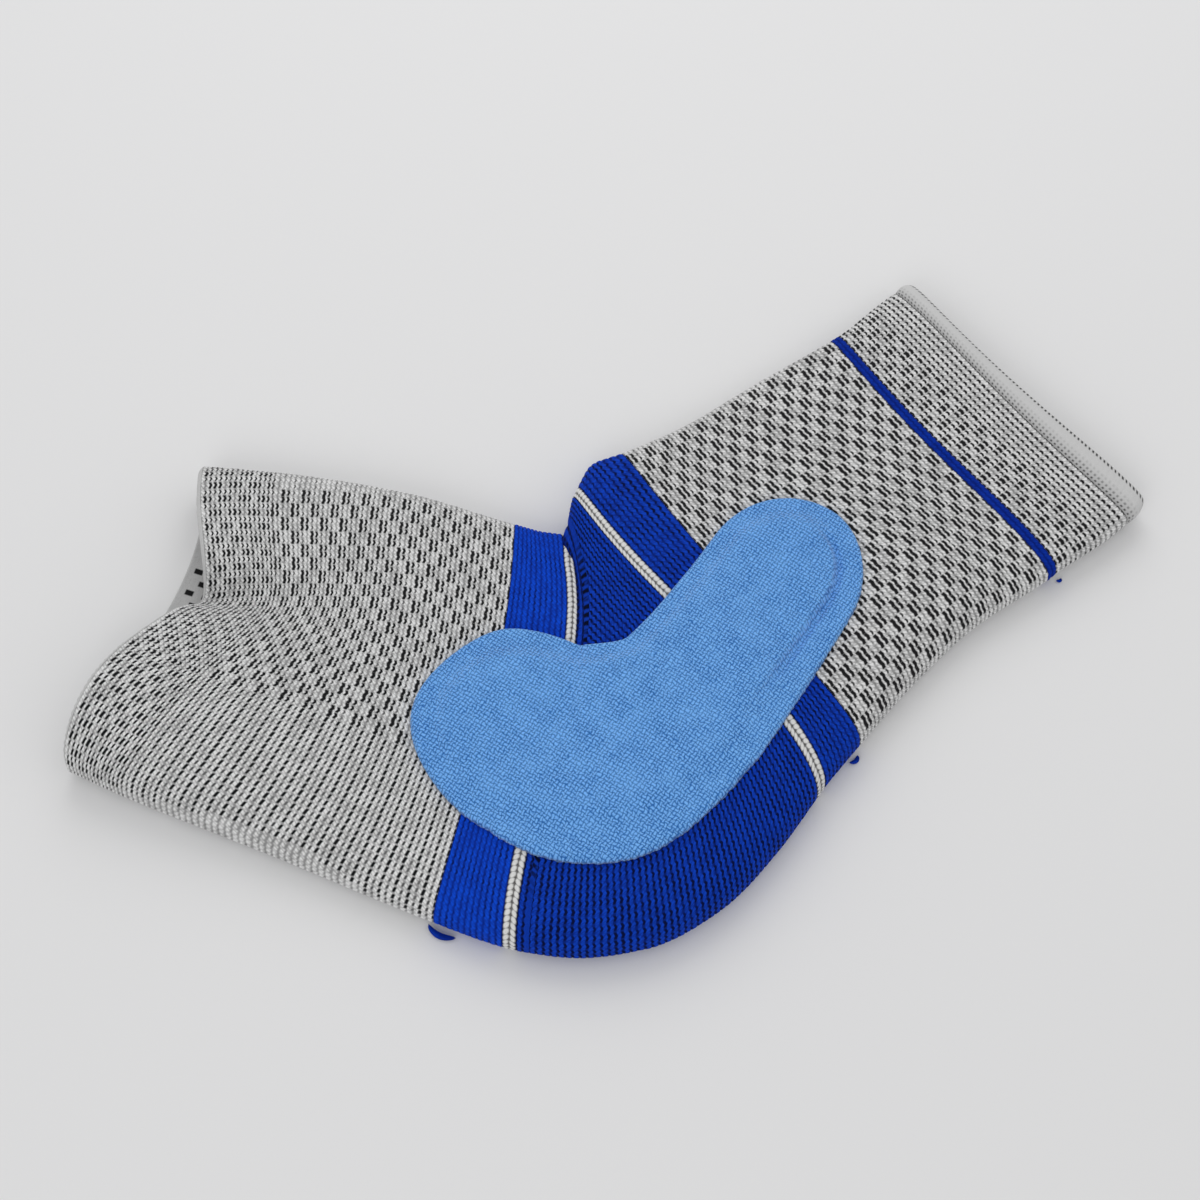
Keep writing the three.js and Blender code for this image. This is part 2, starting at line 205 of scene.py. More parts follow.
def sleeve_lattice(inset):
    """The sleeve's face as loops of even steps round the girth, over the top and back under."""
    stations = np.arange(0, section_places[-1] + STATION_STEP / 2, STATION_STEP)
    shares = (1 - np.cos(np.linspace(0, np.pi, LAYER_STEPS + 1))) / 2
    upper = layer_points(stations, shares, True, inset)
    lower = layer_points(stations, shares[::-1], False, inset)
    loops = np.concatenate([upper, lower[:, 1:]], axis=1)
    steps = np.linalg.norm(np.diff(loops, axis=1), axis=2)
    lengths = np.concatenate([np.zeros((len(stations), 1)), np.cumsum(steps, axis=1)], axis=1)
    even = np.linspace(0, 1, GIRTH_STEPS + 1)
    lattice = np.empty((len(stations), GIRTH_STEPS + 1, 3))
    for i, (loop, length) in enumerate(zip(loops, lengths)):
        for axis in range(3):
            lattice[i, :, axis] = np.interp(even * length[-1], length, loop[:, axis])
    return lattice, lengths[:, -1]


outer_face, girths = sleeve_lattice(0.0)
inner_face = sleeve_lattice(WALL)[0]
along_cloth = np.gradient(outer_face, axis=0)
round_cloth = np.roll(outer_face[:, :-1], -1, axis=1) - np.roll(outer_face[:, :-1], 1, axis=1)
round_cloth = np.concatenate([round_cloth, round_cloth[:, :1]], axis=1)
outward = np.cross(along_cloth, round_cloth)
outward /= np.linalg.norm(outward, axis=2, keepdims=True)


def on_lattice(lattice, stations, shares):
    row = np.clip(stations / STATION_STEP, 0, len(lattice) - 1.001)
    column = np.mod(shares, 1) * GIRTH_STEPS
    i = row.astype(int)
    k = column.astype(int)
    down = (row - i)[..., None]
    right = (column - k)[..., None]
    first = lattice[i, k] * (1 - right) + lattice[i, k + 1] * right
    second = lattice[i + 1, k] * (1 - right) + lattice[i + 1, k + 1] * right
    return first * (1 - down) + second * down


# The foot's upper wales lie wider apart beside the two folds than half way between them
SPREAD_STATIONS = (0, 50, 80, 109)
SPREAD_AMOUNTS = (0.33, 0.25, 0.05, 0)
NEAR_SPREAD = 0.6


def wale_shares(stations):
    columns = stations.shape[1]
    shares = (np.arange(columns) + 0.5) / columns
    side = np.select([shares < 0.25, shares < 0.5], [NEAR_SPREAD, 1.0], 0.0)
    swing = side * np.sin(4 * np.pi * shares) / (4 * np.pi)
    return shares + np.interp(stations, SPREAD_STATIONS, SPREAD_AMOUNTS) * swing


# Where the sleeve bends at the instep, the foot ring is tucked in and the heel's cloth bulges over it
BEND_START = (0.448, 0.5)
BEND_END = (0.52, 0.56)
BULGE_LENGTH = 22
SINK_LENGTH = 14
HEEL_BULGE = np.array([-1.2, -0.4, 0.9])
RING_SINK = np.array([1.6, 1.6, -1.6])


def instep_tuck(stations, shares):
    in_bend = smooth_step(*BEND_START, shares) * (1 - smooth_step(*BEND_END, shares))
    from_heel = stations - station_of["heel"]
    bulge = in_bend * (1 - smooth_step(0, BULGE_LENGTH, from_heel)) * (from_heel > 0)
    sink = in_bend * smooth_step(-SINK_LENGTH, 0, from_heel) * (from_heel < 0)
    return bulge[..., None] * HEEL_BULGE + sink[..., None] * RING_SINK


ROWS_A_COURSE = 4
COLUMNS_A_WALE = 3
YARN_RELIEF = 0.34
SLANT = np.array([-0.15, 0.0, 0.15])
CHEVRON = np.array([-0.12, 0.24, -0.12])
PINCH = (0.4, 0.0, 0.4)
UNEVEN = 0.09
SUNK = 0.25
JOIN_GAP = 0.02
INNER_ROW = 3.0
RIM_ROWS = 5
BAKE_MARGIN = 0.002
MERGE_DISTANCE = 1e-7


def wale_leans(wales, sole_wales, chevron):
    """The lean of each wale's three points: one slant on the sole, a chevron elsewhere."""
    from_near_fold = np.minimum(np.arange(wales), wales - 1 - np.arange(wales))
    on_sole = (from_near_fold < sole_wales)[:, None]
    return np.where(on_sole, SLANT, chevron * CHEVRON).ravel()


def stitches(course, courses, leans, seed, straight_start=False, straight_end=False):
    """How far each point of each row leans along the tube, and its depth below the stitch tops.
    A wale's three points make one bead a course, a little out of line with the next."""
    wales = len(leans) // COLUMNS_A_WALE
    chance = np.random.default_rng(seed)
    out_of_line = chance.uniform(-UNEVEN, UNEVEN, (courses + 1, wales))
    out_of_line[[0, -1]] = 0
    sunk = chance.uniform(0, SUNK, (courses, wales))
    line = np.minimum(course.astype(int), courses - 1)
    part = (course - line)[:, None]
    loose = out_of_line[line] * (1 - part) + out_of_line[line + 1] * part
    slanted = np.ones_like(course)
    if straight_start:
        slanted = np.minimum(slanted, 2 * course)
    if straight_end:
        slanted = np.minimum(slanted, 2 * (courses - course))
    lean = slanted[:, None] * leans + np.repeat(loose, COLUMNS_A_WALE, axis=1)
    bead = 1 - (2 * part - 1) ** 2
    low = bead * (np.tile(PINCH, wales) + np.repeat(sunk[line], COLUMNS_A_WALE, axis=1))
    return lean, YARN_RELIEF * (np.sqrt(bead) - 1 - low)


def knit_points(stations, relief):
    shares = wale_shares(stations)
    points = on_lattice(outer_face, stations, shares)
    points += on_lattice(outward, stations, shares) * relief[..., None] + instep_tuck(stations, shares)
    points[..., 2] = np.maximum(points[..., 2], 0)
    return points


def inner_points(stations, columns):
    stations = np.repeat(np.asarray(stations, float)[:, None], columns, axis=1)
    shares = wale_shares(stations)
    points = on_lattice(inner_face, stations, shares) + instep_tuck(stations, shares)
    points[..., 2] = np.maximum(points[..., 2], WALL / 2)
    return points


def wall_end(from_row, to_row, way, is_rim):
    """Rows that carry a wall's end from one face to the other, round where it is a rim."""
    middle = (from_row + to_row) / 2
    half = (from_row - to_row) / 2
    bulge = way * (WALL / 2 if is_rim else 0.0)
    turn = np.linspace(0, np.pi, (RIM_ROWS if is_rim else 1) + 2)[1:-1, None, None]
    between = middle + half * np.cos(turn) + bulge * np.sin(turn)
    return np.concatenate([from_row[None], between, to_row[None]])


def grid_faces(first, rows, columns):
    """Quads between rows of vertices that close round the tube, numbered from first."""
    row = np.arange(rows - 1)[:, None] * columns
    column = np.arange(columns)[None, :]
    beside = (column + 1) % columns
    corners = [row + column, row + columns + column, row + columns + beside, row + beside]
    return np.stack(corners, axis=-1).reshape(-1, 4) + first


def grid_corners(u_values, v_values):
    """The same quads' corners in a map with the given column and row values."""
    u_left, v_low = np.meshgrid(u_values[:-1], v_values[:-1])
    u_right, v_high = np.meshgrid(u_values[1:], v_values[1:])
    pairs = ((u_left, v_low), (u_left, v_high), (u_right, v_high), (u_right, v_low))
    return np.stack([np.stack(pair, axis=-1) for pair in pairs], axis=2).reshape(-1, 4, 2)


def knit_mesh(name, patches, materials):
    """A closed mesh from patches of rows: points, columns' and rows' stitch values, material number.
    Each patch's last row meets the next patch's first row, and the last patch closes on the first."""
    vertices = []
    faces = []
    stitch = []
    bake = []
    numbers = []
    total = 0
    rows_in_all = sum(len(points) + 1 for points, *_ in patches)
    place = 0
    for points, wales, courses, number in patches:
        rows, columns, _ = points.shape
        vertices.append(points.reshape(-1, 3))
        faces.append(grid_faces(total, rows, columns))
        stitch.append(grid_corners(wales, courses))
        share = np.linspace(BAKE_MARGIN, 1 - BAKE_MARGIN, columns + 1)
        bake.append(grid_corners(share, (place + np.arange(rows) + 0.5) / rows_in_all))
        numbers.append(np.full(len(faces[-1]), number))
        total += rows * columns
        place += rows + 1
    mesh = bpy.data.meshes.new(name)
    mesh.from_pydata((np.concatenate(vertices) * MM).tolist(), [], np.concatenate(faces).tolist())
    for map_name, values in (("OFBake", bake), ("stitch", stitch)):
        layer = mesh.uv_layers.new(name=map_name)
        layer.data.foreach_set("uv", np.concatenate(values).astype(np.float32).ravel())
    mesh.polygons.foreach_set("material_index", np.concatenate(numbers).astype(np.int32))
    mesh.polygons.foreach_set("use_smooth", np.ones(len(mesh.polygons), bool))
    for material in materials:
        mesh.materials.append(material)
    tidy = bmesh.new()
    tidy.from_mesh(mesh)
    bmesh.ops.remove_doubles(tidy, verts=tidy.verts, dist=MERGE_DISTANCE)
    tidy.to_mesh(mesh)
    tidy.free()
    piece = bpy.data.objects.new(name, mesh)
    scene.collection.objects.link(piece)
    return piece


def wale_values(wales):
    return (np.arange(wales * COLUMNS_A_WALE + 1) + 0.5) / COLUMNS_A_WALE


def knit_zone(name, start, end, courses, leans, materials, rims=(False, False), straight=(False, False),
              crowding=0.0):
    """A zone of the tube: stitched outer face, plain inner face, and the ends between them.
    With crowding, the first courses are closer together than the last."""
    wales = len(leans) // COLUMNS_A_WALE
    course = np.arange(courses * ROWS_A_COURSE + 1) / ROWS_A_COURSE
    first = station_of[start] + (WALL / 2 if rims[0] else JOIN_GAP / 2)
    last = station_of[end] - (WALL / 2 if rims[1] else JOIN_GAP / 2)
    lean, relief = stitches(course, courses, leans, round(first), *straight)
    part = course / courses
    part = part - crowding * part * (1 - part)
    outer = knit_points(first + part[:, None] * (last - first) + lean, relief)
    inner_rows = max(2, round((last - first) / INNER_ROW) + 1)
    inner = inner_points(np.linspace(last, first, inner_rows), wales * COLUMNS_A_WALE)
    ways = np.gradient(outer, axis=0)
    ways /= np.linalg.norm(ways, axis=2, keepdims=True)
    end_rows = wall_end(outer[-1], inner[0], ways[-1], rims[1])
    start_rows = wall_end(inner[-1], outer[0], -ways[0], rims[0])
    across = wale_values(wales)
    patches = [
        (outer, across, course, 0),
        (end_rows, across, np.full(len(end_rows), courses), 1),
        (inner, across, np.linspace(courses, 0, inner_rows), 1),
        (start_rows, across, np.zeros(len(start_rows)), 1),
    ]
    return knit_mesh(name, patches, materials)


def maths(tree, operation, *given):
    node = tree.nodes.new("ShaderNodeMath")
    node.operation = operation
    for socket, value in zip(node.inputs, given):
        if isinstance(value, bpy.types.NodeSocket):
            tree.links.new(value, socket)
        else:
            socket.default_value = value
    return node.outputs[0]


def scaled(tree, value, factor, offset):
    return maths(tree, "MULTIPLY_ADD", value, factor, offset)


def times(tree, first, *others):
    for other in others:
        first = maths(tree, "MULTIPLY", first, other)
    return first


def either(tree, choice, chosen, other):
    """The chosen value where the choice is 1, the other where it is 0."""
    return scaled(tree, choice, maths(tree, "SUBTRACT", chosen, other), other)


def modulo(tree, value, number):
    return maths(tree, "FLOORED_MODULO", value, number)


def below(tree, value, limit):
    return maths(tree, "LESS_THAN", value, limit)


def is_even(tree, value):
    return below(tree, modulo(tree, value, 2), 0.5)


def apart(tree, first, second):
    return maths(tree, "ABSOLUTE", maths(tree, "SUBTRACT", first, second))


def from_half(tree, value):
    """Distance of a value's fraction from the middle of its step, 0 to 0.5."""
    return apart(tree, maths(tree, "FRACT", value), 0.5)


def eased(tree, value, low, high, start=0.0, end=1.0):
    node = tree.nodes.new("ShaderNodeMapRange")
    node.interpolation_type = "SMOOTHSTEP"
    tree.links.new(value, node.inputs["Value"])
    for name, number in (("From Min", low), ("From Max", high), ("To Min", start), ("To Max", end)):
        node.inputs[name].default_value = number
    return node.outputs["Result"]


def dyed(tree, factor, first, second):
    """The first colour where the factor is 0, the second where it is 1."""
    node = tree.nodes.new("ShaderNodeMix")
    node.data_type = "RGBA"
    tree.links.new(factor, next(s for s in node.inputs if s.name == "Factor" and s.type == "VALUE"))
    for name, colour in (("A", first), ("B", second)):
        socket = next(s for s in node.inputs if s.name == name and s.type == "RGBA")
        if isinstance(colour, bpy.types.NodeSocket):
            tree.links.new(colour, socket)
        else:
            socket.default_value = (*colour, 1)
    return next(s for s in node.outputs if s.type == "RGBA")


def noise(tree, scale, detail=2.0):
    place = tree.nodes.new("ShaderNodeTexCoord")
    node = tree.nodes.new("ShaderNodeTexNoise")
    node.inputs["Scale"].default_value = scale
    node.inputs["Detail"].default_value = detail
    tree.links.new(place.outputs["Object"], node.inputs["Vector"])
    return node.outputs["Fac"]


def dress(tree, shader, colour, height, strength, distance):
    """Gives the shader its colour, and the height as bumps."""
    tree.links.new(colour, shader.inputs["Base Color"])
    bump = tree.nodes.new("ShaderNodeBump")
    bump.inputs["Strength"].default_value = strength
    bump.inputs["Distance"].default_value = distance
    tree.links.new(height, bump.inputs["Height"])
    tree.links.new(bump.outputs["Normal"], shader.inputs["Normal"])


def new_material(name, roughness, specular, sheen):
    material = bpy.data.materials.new(name)
    material.use_nodes = True
    tree = material.node_tree
    shader = tree.nodes["Principled BSDF"]
    shader.inputs["Roughness"].default_value = roughness
    shader.inputs["Specular IOR Level"].default_value = specular
    shader.inputs["Sheen Weight"].default_value = sheen
    shader.inputs["Sheen Roughness"].default_value = 0.5
    return material, tree, shader


def stitch_place(tree):
    stitch_map = tree.nodes.new("ShaderNodeUVMap")
    stitch_map.uv_map = "stitch"
    split = tree.nodes.new("ShaderNodeSeparateXYZ")
    tree.links.new(stitch_map.outputs["UV"], split.inputs[0])
    return split.outputs["X"], split.outputs["Y"]


YARN_FIBRE = (3200, 3)
YARN_BUMP = (0.35, 0.0003)


def yarn_material(name, colours, chart, sheen=0.08, specular=0.2, joined=0.0):
    """Knitted yarn: stitch tops painted lighter as a highlight, painted shade in the furrows and between
    the beads, and dark ticks as strong as the chart says, each on its own or joined in a line: black floats
    on the grey yarn, dashes of painted shade in the furrows of the blue yarn."""
    top_colour, furrow_shade_colour, float_and_shade_colour = colours
    material, tree, shader = new_material(name, 0.85, specular, sheen)
    wale, course = stitch_place(tree)
    row = maths(tree, "ROUND", course)
    column = maths(tree, "FLOOR", wale)
    from_furrow = apart(tree, course, row)
    from_middle = from_half(tree, wale)
    number = tree.nodes.new("ShaderNodeCombineXYZ")
    tree.links.new(column, number.inputs["X"])
    tree.links.new(row, number.inputs["Y"])
    chance = tree.nodes.new("ShaderNodeTexWhiteNoise")
    chance.noise_dimensions = "2D"
    tree.links.new(number.outputs[0], chance.inputs["Vector"])
    chance = chance.outputs["Value"]
    fibre = noise(tree, *YARN_FIBRE)
    # Painted shade and highlight: darker in the furrows, between the plies and between the wales, lighter
    # on the bead tops
    ridge = eased(tree, from_furrow, 0.03, 0.36)
    ply = eased(tree, from_half(tree, scaled(tree, wale, 2, course)), 0.2, 0.5, 1, 0.3)
    bead = times(tree, ridge, ply, eased(tree, from_middle, 0.28, 0.5, 1, 0.5))
    fleck = scaled(tree, chance, 0.5, -0.5)
    tone = maths(tree, "ADD", bead, scaled(tree, fibre, 0.5, fleck))
    colour = dyed(tree, tone, furrow_shade_colour, top_colour)
    strength = times(tree, chart(tree, column, row), scaled(tree, chance, 0.4, 0.8))
    half_width = scaled(tree, strength, 0.22, 0.14)
    half_length = scaled(tree, strength, 0.3, 0.2)
    line = eased(tree, maths(tree, "DIVIDE", from_furrow, half_width), 0.45, 1, 1, 0)
    dash = eased(tree, maths(tree, "DIVIDE", from_middle, half_length), 0.7, 1.05, 1, joined)
    float_and_shade_tick = times(tree, line, dash, eased(tree, strength, 0.0, 0.55))
    colour = dyed(tree, float_and_shade_tick, colour, float_and_shade_colour)
    tree.links.new(scaled(tree, fibre, 0.2, 0.75), shader.inputs["Roughness"])
    dress(tree, shader, colour, scaled(tree, bead, 0.6, fibre), *YARN_BUMP)
    return material


# stitch tops, painted shade for the furrows, black floats
GREY_YARN = ((0.79, 0.79, 0.79), (0.3, 0.3, 0.3), (0.005, 0.005, 0.006))
FOOT_WALES = 124
SOLE_WALES = 22
CUFF_COURSES = 15
UNDER_WALE = -5
CUFF_NEAR_WALE = 1.5
CUFF_PLAIN_SIDE = 0.35
GROUP_TICKS = (1.3, 1.0, 0.15)  # in the middle of a group, at its ends, between groups
OFF_WALE_TICKS = 0.48


def signed_wale(tree, column, wales):
    """Wales counted both ways from the near fold."""
    return maths(tree, "WRAP", column, wales / 2, -wales / 2)


def off_near_fold(tree, signed, near_wale):
    """0 on the plain side below the near fold, 1 elsewhere."""
    above = maths(tree, "GREATER_THAN", signed, near_wale)
    return maths(tree, "MAXIMUM", above, below(tree, signed, UNDER_WALE))


def tick_groups(tree, column, row):
    """Ticks in threes on every second wale, set off by two courses from one such wale to the next."""
    on_wale = is_even(tree, column)
    offset = times(tree, below(tree, modulo(tree, column, 4), 1.5), 2)
    in_group = modulo(tree, maths(tree, "ADD", row, offset), 4)
    middle = maths(tree, "COMPARE", in_group, 1, 0.1)
    group = either(tree, below(tree, in_group, 2.5), either(tree, middle, *GROUP_TICKS[:2]), GROUP_TICKS[2])
    return either(tree, on_wale, group, OFF_WALE_TICKS)


def cuff_chart(tree, column, row):
    off_rim = maths(tree, "GREATER_THAN", row, 0.5)
    shown = off_near_fold(tree, signed_wale(tree, column, FOOT_WALES), CUFF_NEAR_WALE)
    return times(tree, tick_groups(tree, column, row), off_rim, either(tree, shown, 1, CUFF_PLAIN_SIDE))


# On the inside the floats show as short bars along the tube, far apart
BAR_WALES = 2
BAR_COURSES = 4
grey_inside, tree, shader = new_material("grey_inside", 0.85, 0.2, 0.08)
wale, course = stitch_place(tree)
bar_row = maths(tree, "DIVIDE", wale, BAR_WALES)
odd_row = times(tree, modulo(tree, maths(tree, "FLOOR", bar_row), 2), 0.5)
along_bar = from_half(tree, maths(tree, "ADD", maths(tree, "DIVIDE", course, BAR_COURSES), odd_row))
across_bar = eased(tree, from_half(tree, bar_row), 0.18, 0.3, 1, 0)
fibre = noise(tree, *YARN_FIBRE)
colour = dyed(tree, fibre, (0.42, 0.42, 0.42), (0.66, 0.66, 0.66))
off_rim = maths(tree, "GREATER_THAN", course, 1)
bar = times(tree, across_bar, eased(tree, along_bar, 0.2, 0.28, 1, 0), off_rim)
colour = dyed(tree, bar, colour, (0.006, 0.006, 0.007))
dress(tree, shader, colour, fibre, *YARN_BUMP)

foot_leans = wale_leans(FOOT_WALES, SOLE_WALES, 1.0)
cuff_knit = yarn_material("foot_cuff_knit", GREY_YARN, cuff_chart)
foot_cuff = knit_zone("foot_cuff_knit", "toe_rim", "cuff_end", CUFF_COURSES, foot_leans,
                      [cuff_knit, grey_inside], rims=(True, False), straight=(True, False))


def lay_knit(piece, node):
    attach(piece, "root")
    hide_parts(node)


lay_knit(foot_cuff, "foot_cuff")

# Foot sleeve: the grey knit round the forefoot and arch. Black floats make a checker on the instep
# and broken lines along the sole, and the two sides at the folds are plain.
FOOT_COURSES = 48
CROWDED = 0.08
FOOT_NEAR_WALE = 3.5
WIDEST_COURSES = (20, 26)
FOOT_FAR_WALE = 63
FAR_SIDE_WALES = 3
PLAIN_SIDE = 0.22
FOOT_DARK = (1.4, 0.9)
FOOT_FAINT = (0.32, 0.1)
SOLE_DARK = (0.6, 0.88)
SOLE_FAINT = 0.36


def checker(tree, column, row, dark_strengths, faint_strengths):
    """Thick and thin dashes side by side, two wales tall, over two courses, then two faint lines."""
    pair = maths(tree, "FLOOR", maths(tree, "DIVIDE", column, 2))
    step = maths(tree, "FLOOR", maths(tree, "DIVIDE", row, 2))
    dark = is_even(tree, maths(tree, "ADD", pair, step))
    first = either(tree, dark, dark_strengths[0], faint_strengths[0])
    second = either(tree, dark, dark_strengths[1], faint_strengths[1])
    return either(tree, is_even(tree, row), first, second)


def off_far_fold(tree, column, far_wale):
    from_fold = apart(tree, column, far_wale)
    return maths(tree, "GREATER_THAN", from_fold, FAR_SIDE_WALES)


def foot_chart(tree, column, row):
    signed = signed_wale(tree, column, FOOT_WALES)
    on_sole = below(tree, maths(tree, "ABSOLUTE", signed), SOLE_WALES - 0.5)
    uneven = eased(tree, noise(tree, 160), 0.35, 0.65, *SOLE_DARK)
    sole = either(tree, is_even(tree, row), uneven, SOLE_FAINT)
    chart = either(tree, on_sole, sole, checker(tree, column, row, FOOT_DARK, FOOT_FAINT))
    widening = eased(tree, row, 0, WIDEST_COURSES[0], CUFF_NEAR_WALE, FOOT_NEAR_WALE)
    narrowing = eased(tree, row, WIDEST_COURSES[1], FOOT_COURSES - 4, FOOT_NEAR_WALE, 0)
    near_wale = maths(tree, "MINIMUM", widening, narrowing)
    shown = times(tree, off_near_fold(tree, signed, near_wale), off_far_fold(tree, column, FOOT_FAR_WALE))
    return times(tree, chart, either(tree, shown, 1, PLAIN_SIDE))


foot_knit = yarn_material("foot_knit", GREY_YARN, foot_chart)
foot_sleeve = knit_zone("foot_sleeve_knit", "cuff_end", "foot_band", FOOT_COURSES, foot_leans,
                        [foot_knit, grey_inside], straight=(False, True), crowding=CROWDED)
lay_knit(foot_sleeve, "foot_sleeve")

# Foot band: royal-blue yarn knitted on in front of the heel, in the same tube, with painted shade in the
# furrows between its courses.
# stitch tops, painted shade for the furrows and darker painted shade for the dashes in them, outside and
# inside
BLUE_YARN = ((0.003, 0.065, 0.63), (0.002, 0.028, 0.32), (0.001, 0.01, 0.11))
BLUE_WITHIN = ((0.004, 0.05, 0.4), (0.001, 0.012, 0.17), (0.0006, 0.002, 0.02))
BLUE_CHEVRON = 0.9
BAND_COURSES = 11


def blue_chart(least, most):
    """Dashes of painted shade in the furrows, stronger in some places than in others."""
    def chart(tree, column, row):
        return eased(tree, noise(tree, 140), 0.35, 0.7, least, most)
    return chart


band_knit = yarn_material("foot_band_knit", BLUE_YARN, blue_chart(0.2, 0.45), 0, 0.08, joined=0.4)
blue_inside = yarn_material("blue_inside", BLUE_WITHIN, blue_chart(0.1, 0.55), 0, 0.08)
band_leans = wale_leans(FOOT_WALES, 0, BLUE_CHEVRON)
foot_band = knit_zone("foot_band_knit", "foot_band", "foot_ring", BAND_COURSES, band_leans,
                      [band_knit, blue_inside], straight=(True, True))
lay_knit(foot_band, "foot_band")

# Rings: two narrow rings of pale yarn where the heel begins and ends. Each is a chain of two rows of
# slanted beads, with painted shade between the beads and down the chain's middle, and the blue showing
# in the notches along its edges, darkened with painted shade.
RING_BEADS = 156
CHAIN_SLANT = 0.6
ring_yarn, tree, shader = new_material("ring_yarn", 0.85, 0.2, 0.08)
wale, course = stitch_place(tree)
from_chain = apart(tree, course, 1)
across_bead = from_half(tree, scaled(tree, from_chain, CHAIN_SLANT, wale))
along_bead = apart(tree, from_chain, 0.5)
across_share = times(tree, across_bead, across_bead, 0.65)
from_bead = maths(tree, "ADD", across_share, times(tree, along_bead, along_bead))
in_notch = times(tree, eased(tree, from_bead, 0.22, 0.32), eased(tree, from_chain, 0.7, 0.8))
fibre = noise(tree, *YARN_FIBRE)
# Painted shade: each bead lighter in its middle, near black between the beads and down the chain's middle
tone = scaled(tree, fibre, 0.5, eased(tree, from_bead, 0.05, 0.28, 0.7, -0.15))
colour = dyed(tree, tone, (0.06, 0.055, 0.055), (0.78, 0.78, 0.77))
# Painted shade: the blue in the notches is dark
colour = dyed(tree, in_notch, colour, (0.001, 0.008, 0.09))
dress(tree, shader, colour, maths(tree, "SUBTRACT", fibre, times(tree, from_bead, 3)), 0.4, 0.0004)
ring_leans = np.zeros(RING_BEADS * COLUMNS_A_WALE)
foot_ring = knit_zone("foot_ring_knit", "foot_ring", "heel", 2, ring_leans, [ring_yarn, grey_inside])
leg_ring = knit_zone("leg_ring_knit", "leg_ring", "leg_band", 2, ring_leans, [ring_yarn, grey_inside])
lay_knit(foot_ring, "foot_ring")
lay_knit(leg_ring, "leg_ring")

# Heel: the blue section between the rings, fanned out round the heel by short rows. Its courses run
# beside the leg ring, and those that are not knitted right across end on a line beside the foot ring.
# They are packed closer than in the foot band. Their blue is a darker copy of the foot band's, with
# stronger dashes in the furrows, all painted shade.
# The foot band's blue made darker: painted shade for the heel and the leg band
SHADED_BLUE_YARN = ((0.003, 0.05, 0.5), (0.0015, 0.02, 0.23), (0.0006, 0.004, 0.045))
HEEL_WALES = 120
HEEL_COURSES = 50
HEEL_PITCH = 1.6
FIRST_COURSES = 2
FIRST_PITCH = 1.7
FIRST_NUMBER = 100
HEEL_INNER_ROWS = 34
HEEL_TRACE_ROWS = 400
INSTEP_START = (0.3, 0.42)
INSTEP_END = (0.58, 0.7)

heel_columns = HEEL_WALES * COLUMNS_A_WALE
heel_start = station_of["heel"] + JOIN_GAP / 2
heel_end = station_of["leg_ring"] - JOIN_GAP / 2
heel_steps = np.linspace(heel_start, heel_end, HEEL_TRACE_ROWS)
heel_traces = np.repeat(heel_steps[:, None], heel_columns, axis=1)
heel_trace = on_lattice(outer_face, heel_traces, wale_shares(heel_traces))
trace_steps = np.linalg.norm(np.diff(heel_trace, axis=0), axis=2)
from_foot_ring = np.concatenate([np.zeros((1, heel_columns)), np.cumsum(trace_steps, axis=0)])
heel_lengths = from_foot_ring[-1]


def heel_stations(distances):
    """Stations at distances from the foot ring along each wale."""
    stations = np.empty_like(distances)
    for k in range(heel_columns):
        stations[:, k] = np.interp(distances[:, k], from_foot_ring[:, k], heel_steps)
    return stations


first_course = np.arange(FIRST_COURSES * ROWS_A_COURSE + 1) / ROWS_A_COURSE
heel_leans = wale_leans(HEEL_WALES, 0, BLUE_CHEVRON)
first_lean, first_relief = stitches(first_course, FIRST_COURSES, heel_leans, 1, straight_start=True)
heel_shares = (np.arange(heel_columns) + 0.5) / heel_columns
on_instep = smooth_step(*INSTEP_START, heel_shares) * (1 - smooth_step(*INSTEP_END, heel_shares))
first_pitch = FIRST_PITCH * (1 + on_instep)
first_points = knit_points(heel_stations(first_course[:, None] * first_pitch + first_lean), first_relief)
short_rows = np.arange(HEEL_COURSES * ROWS_A_COURSE, -1, -1) / ROWS_A_COURSE
short_room = heel_lengths - FIRST_COURSES * first_pitch
short_pitch = np.maximum(short_room / HEEL_COURSES, HEEL_PITCH)
short_lean, short_relief = stitches(short_rows, HEEL_COURSES, heel_leans, 2, straight_start=True)
from_leg_ring = np.maximum(short_rows[:, None] * short_pitch - short_lean, 0)
short_relief = np.where(from_leg_ring >= short_room - 1e-6, -YARN_RELIEF, short_relief)
short_distances = heel_lengths - np.minimum(from_leg_ring, short_room)
short_points = knit_points(heel_stations(short_distances), short_relief)
first_points[-1] = short_points[0]
heel_inner = inner_points(np.linspace(heel_end, heel_start, HEEL_INNER_ROWS), heel_columns)


# Where the short rows end on the sides of the ankle, beside the foot ring, each wale has a hole, painted
# dark with the shade inside it
GORE_ROWS = 3
GORE_WALES = (6, 13, 50, 57)  # from the near fold: none, all, all, none again
gore_knit, tree, shader = new_material("gore_knit", 0.85, 0.08, 0)
wale, course = stitch_place(tree)
fibre = noise(tree, *YARN_FIBRE)
from_near_fold = maths(tree, "ABSOLUTE", signed_wale(tree, wale, HEEL_WALES))
above_sole = eased(tree, from_near_fold, *GORE_WALES[:2])
on_side = times(tree, above_sole, eased(tree, from_near_fold, *GORE_WALES[2:], 1, 0))
slanted = scaled(tree, course, 0.5, wale)
open_share = times(tree, on_side, eased(tree, noise(tree, 300), 0.35, 0.5, 0.3, 1))
shaded_hole = times(tree, eased(tree, from_half(tree, slanted), 0.2, 0.42, 1, 0), open_share)
colour = dyed(tree, fibre, SHADED_BLUE_YARN[1], SHADED_BLUE_YARN[0])
# Painted shade inside the holes
colour = dyed(tree, shaded_hole, colour, (0.0003, 0.002, 0.018))
dress(tree, shader, colour, fibre, *YARN_BUMP)

